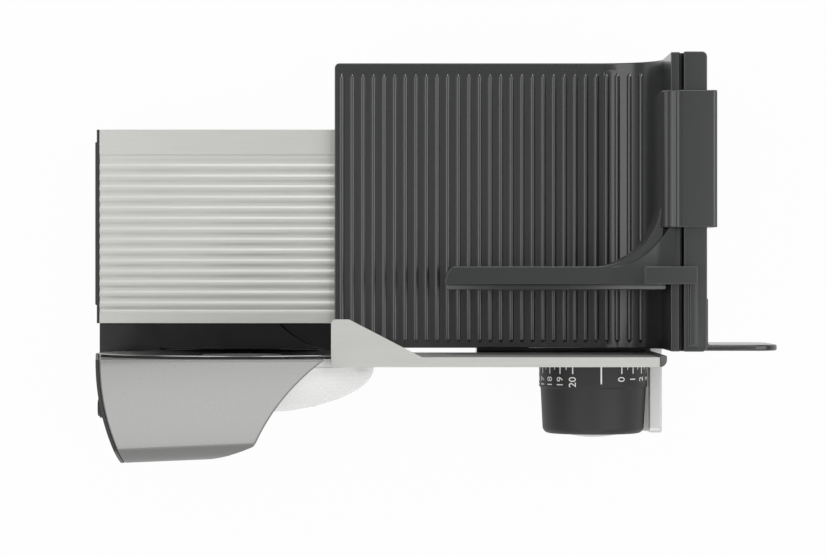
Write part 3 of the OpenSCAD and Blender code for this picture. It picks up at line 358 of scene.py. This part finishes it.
marks = bmesh.new()
print_line(marks, mark_angle, mark_end, mark_w)
for half in range(2 * scale_end + 1):
    angle = zero_angle + mm_angle * half / 2
    if half % 2:
        print_line(marks, angle, half_end, half_w)
    else:
        print_line(marks, angle, whole_end, whole_w)
for value in range(scale_end + 1):
    digits = bpy.data.curves.new("digits", "FONT")
    digits.body = str(value)
    digits.size = digit_size
    digits.align_x = "RIGHT"
    digits.align_y = "CENTER"
    digits.extrude = ink_t
    digits.resolution_u = 4
    label = bpy.data.objects.new("digits", digits)
    bpy.context.scene.collection.objects.link(label)
    bpy.context.view_layer.update()
    flat = bpy.data.meshes.new_from_object(label.evaluated_get(bpy.context.evaluated_depsgraph_get()))
    bpy.data.objects.remove(label)
    bent = on_ring(zero_angle + mm_angle * value)
    ink = bmesh.new()
    ink.from_mesh(flat)
    for cut in range(-slices, slices + 1):
        bmesh.ops.bisect_plane(ink, geom=ink.verts[:] + ink.edges[:] + ink.faces[:], dist=WELD,
                               plane_co=(0, slice_h * cut, 0), plane_no=(0, 1, 0))
    for v in ink.verts:
        turn = -v.co.y / ring_r
        reach = ring_r + v.co.z
        v.co = bent @ Vector((reach * math.sin(turn), v.co.x - digit_edge, reach * math.cos(turn)))
    ink.to_mesh(flat)
    ink.free()
    marks.from_mesh(flat)
    bpy.data.meshes.remove(flat)
bmesh.ops.remove_doubles(marks, verts=marks.verts, dist=WELD)
finished(marks, "dial_print", "knob", white_ink)

# Carriage: a satin black moulding whose ribbed floor sweeps up into the wall on the right.
# The floor runs flush into its border. One more rib stands close to the left edge and two on the sweep.
# The thumb guard is moulded in the same plastic and stands at the wall's front end.
satin_black = grained_finish("satin_black", (0.02, 0.021, 0.021), (0.022, 0.023, 0.023),
                             rough=(0.21, 0.23), stretch=(1800,) * 3, depth=5e-8, shine=0.8)
tray_low, tray_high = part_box("carriage")
tray_floor = 69 * MM
border_h = 1.5 * MM
sweep_start, sweep_r = 101 * MM, 35 * MM
rib_limit = sweep_start + sweep_r / 2
front_ends, front_longer = (-43.1 * MM, -40.9 * MM), 6 * MM
back_ends, back_longer = (105.9 * MM, 108.1 * MM), 2.8 * MM
field_low = tray_low + Vector((2 * MM, 2 * MM, 4 * MM))
field_high = tray_high - Vector((20 * MM, 4 * MM, 0))


def flush_border(bm):
    """Lays the border down to the floor, as far as the sweep of the wall, and lengthens the ribs."""
    everything = bm.verts[:] + bm.edges[:] + bm.faces[:]
    bmesh.ops.bisect_plane(bm, geom=everything, dist=WELD, plane_co=(sweep_start, 0, 0), plane_no=(1, 0, 0))
    for v in bm.verts:
        if v.co.x < sweep_start + WELD and abs(v.co.z - tray_floor - border_h) < WELD:
            v.co.z = tray_floor
    for v in bm.verts:
        if v.co.z > tray_floor - WELD and v.co.x < rib_limit:
            if front_ends[0] < v.co.y < front_ends[1]:
                v.co.y -= front_longer
            elif back_ends[0] < v.co.y < back_ends[1]:
                v.co.y += back_longer
    bmesh.ops.remove_doubles(bm, verts=bm.verts, dist=WELD)
    bmesh.ops.dissolve_degenerate(bm, dist=WELD, edges=bm.edges)
    bmesh.ops.dissolve_limit(bm, angle_limit=FLAT, verts=bm.verts, edges=bm.edges)


def off_ribs(e):
    """Edges outside the ribbed field of the floor, whose ribs are round already."""
    return not all(field_low.x < v.co.x < field_high.x and field_low.y < v.co.y < field_high.y
                   and v.co.z > field_low.z for v in e.verts)


dress("carriage", satin_black, edge=0.6 * MM, sharp=25, weld=WELD,
      kept=off_ribs, shaped=flush_border)
dress("thumb_guard", satin_black, edge=1.0 * MM)
rib_r, rib_tip, rib_len, rib_sunk = 2 * MM, 1.1 * MM, 159.8 * MM, 1.1 * MM
rib_start = -49 * MM
rib_places = (-51.9 * MM, 118.5 * MM, 124.8 * MM)
rib = bmesh.new()
rib_line = [rib.verts.new((r, y, 0)) for r, y in (
    (rib_tip, 0), (rib_r, rib_r), (rib_r, rib_len - rib_r), (rib_tip, rib_len))]
rib_edges = [rib.edges.new(pair) for pair in zip(rib_line, rib_line[1:])]
bmesh.ops.spin(rib, geom=rib_line + rib_edges, cent=(0, 0, 0), axis=(0, 1, 0),
               angle=math.tau, steps=48, use_merge=True)
bmesh.ops.holes_fill(rib, edges=rib.edges)
bmesh.ops.recalc_face_normals(rib, faces=rib.faces)
rib_mesh = bpy.data.meshes.new("rib")
rib.to_mesh(rib_mesh)
rib.free()
outer_ribs = bmesh.new()
for x in rib_places:
    lean = math.asin(max(0, x - sweep_start) / sweep_r)
    spot = Vector((x + rib_sunk * math.sin(lean), rib_start,
                   tray_floor + sweep_r - (sweep_r + rib_sunk) * math.cos(lean)))
    placed = rib_mesh.copy()
    placed.transform(Matrix.Translation(spot))
    outer_ribs.from_mesh(placed)
    bpy.data.meshes.remove(placed)
bpy.data.meshes.remove(rib_mesh)
finished(outer_ribs, "carriage_outer_ribs", "carriage", satin_black, smooth=20)

# Remnant holder: a saddle on the wall with a toothed pusher plate, moulded in the carriage's plastic.
# The pusher's top rises in a curved corner over the wall's lower layer, and a ledge stands over the teeth.
saddle_low, saddle_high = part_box("remnant_holder")
flank_len, flank_h, flank_r = 50 * MM, 8 * MM, 2.4 * MM


def round_flank(bm):
    """Rounds the outer upper edge of the saddle."""
    flank = [e for e in bm.edges if e.calc_length() > flank_len
             and all(v.co.x > saddle_high.x - WELD and v.co.z > saddle_high.z - flank_h for v in e.verts)]
    round_edges(bm, flank, flank_r, segments=6)


dress("remnant_holder", satin_black, edge=0.5 * MM, sharp=25, shaped=round_flank)
pusher_front, pusher_back, pusher_top = -14 * MM, -4 * MM, 164.3 * MM
corner_start, corner_end, corner_top = 103 * MM, 141 * MM, 167 * MM
corner_sunk, corner_lift, corner_rise = 1 * MM, 0.05 * MM, 0.1
corner_steps, rim_steps, rim_r = 28, 4, 0.5 * MM
bow_len, bow_depth, bow_back = 44 * MM, 72 * MM, 24 * MM
layer_edge, layer_top = 135.5 * MM, 165.5 * MM
corner = bmesh.new()
last_ring = []
for step in range(corner_steps + 1):
    x = corner_start + (corner_end - corner_start) * step / corner_steps
    bow = min(1, (x - corner_start) / bow_len)
    back = min(bow_back, pusher_back + bow_depth * (1 - math.sqrt(1 - bow ** 2)))
    high = min(corner_top, pusher_top + (x - corner_start) * corner_rise + corner_lift)
    low = pusher_top - corner_sunk if x < layer_edge else layer_top
    section = [(pusher_front, high), (pusher_front, low), (back, low)]
    for turn in range(rim_steps + 1):
        bend = math.pi / 2 * turn / rim_steps
        section.append((back - rim_r * (1 - math.cos(bend)), high - rim_r * (1 - math.sin(bend))))
    points = [corner.verts.new((x, y, z)) for y, z in section]
    ring = [corner.edges.new((points[k - 1], points[k])) for k in range(len(points))]
    if last_ring:
        bmesh.ops.bridge_loops(corner, edges=last_ring + ring)
    last_ring = ring
bmesh.ops.holes_fill(corner, edges=corner.edges)
bmesh.ops.recalc_face_normals(corner, faces=corner.faces)
finished(corner, "holder_corner", "holder", satin_black)
ledge_spot = Matrix.Translation((71.5 * MM, -15.3 * MM, 154 * MM))
ledge_size = Matrix.Diagonal((125 * MM, 3.6 * MM, 8 * MM, 1))
ledge = bmesh.new()
bmesh.ops.create_cube(ledge, size=1, matrix=ledge_spot @ ledge_size)
round_edges(ledge, ledge.edges[:], 0.5 * MM, clamp=True)
finished(ledge, "holder_ledge", "holder", satin_black)

# Studio floor and sky: a wide sheet of pale paper under an even white sky.
# The paper looks nearly white to the camera and in gloss, but gives the part only a plain light from below.
floor_reach = 12
white_share = 0.97
sky_strength = 0.35
floor_mesh = bpy.data.meshes.new("studio_floor")
floor_form = bmesh.new()
bmesh.ops.create_grid(floor_form, x_segments=1, y_segments=1, size=floor_reach)
floor_form.to_mesh(floor_mesh)
floor_form.free()
floor = bpy.data.objects.new("studio_floor", floor_mesh)
bpy.context.scene.collection.objects.link(floor)
paper = plain_finish("white_paper", (0.6, 0.6, 0.6), 0, 0.9)
paper_nodes, paper_links = paper.node_tree.nodes, paper.node_tree.links
path = paper_nodes.new("ShaderNodeLightPath")
seen = path.outputs["Is Camera Ray"]
for kind in ("Is Glossy Ray", "Is Transmission Ray"):
    either = paper_nodes.new("ShaderNodeMath")
    either.operation = "MAXIMUM"
    paper_links.new(seen, either.inputs[0])
    paper_links.new(path.outputs[kind], either.inputs[1])
    seen = either.outputs["Value"]
paper_share = paper_nodes.new("ShaderNodeMath")
paper_share.operation = "MULTIPLY"
paper_share.inputs[1].default_value = white_share
paper_glow = paper_nodes.new("ShaderNodeEmission")
paper_mix = paper_nodes.new("ShaderNodeMixShader")
paper_links.new(seen, paper_share.inputs[0])
paper_links.new(paper_share.outputs["Value"], paper_mix.inputs["Fac"])
paper_links.new(paper_nodes["Principled BSDF"].outputs["BSDF"], paper_mix.inputs[1])
paper_links.new(paper_glow.outputs["Emission"], paper_mix.inputs[2])
paper_links.new(paper_mix.outputs["Shader"], paper_nodes["Material Output"].inputs["Surface"])
floor_mesh.materials.append(paper)
world = bpy.data.worlds.new("studio")
bpy.context.scene.world = world
world.use_nodes = True
world.node_tree.nodes["Background"].inputs["Color"].default_value = (1, 1, 1, 1)
world.node_tree.nodes["Background"].inputs["Strength"].default_value = sky_strength

# Lamps: four square soft boxes round the part. The two at the sides are the largest,
# so that they show as broad bands on the carriage's ribs.
for name, place, aim, size, power in (
        ("soft_right", (1.0, -0.1, 1.35), (0, 0, 0.1), 1.5, 13),
        ("soft_left", (-0.95, -0.1, 1.35), (0, 0, 0.1), 1.5, 11),
        ("soft_front", (-0.1, -1.9, 1.2), (-0.1, 0, 0.2), 1.3, 12),
        ("soft_back", (0.1, 1.5, 1.2), (0, 0, 0.1), 0.8, 12)):
    lamp = bpy.data.lights.new(name, "AREA")
    lamp.size = size
    lamp.energy = power
    stand = bpy.data.objects.new(name, lamp)
    stand.location = place
    stand.rotation_euler = (Vector(aim) - Vector(place)).to_track_quat("-Z", "Y").to_euler()
    bpy.context.scene.collection.objects.link(stand)

# Camera: it looks straight down on the part from two metres up,
# so that the sides of the higher pieces hardly show.
camera = bpy.data.cameras.new("photo_camera")
camera.sensor_width = 36
camera.lens = 141.8
camera.clip_end = 50
tripod = bpy.data.objects.new("photo_camera", camera)
tripod.location = (-9.5 * MM, -10.5 * MM, 2.0)
bpy.context.scene.collection.objects.link(tripod)
bpy.context.scene.camera = tripod
bpy.context.scene.view_settings.view_transform = "Standard"
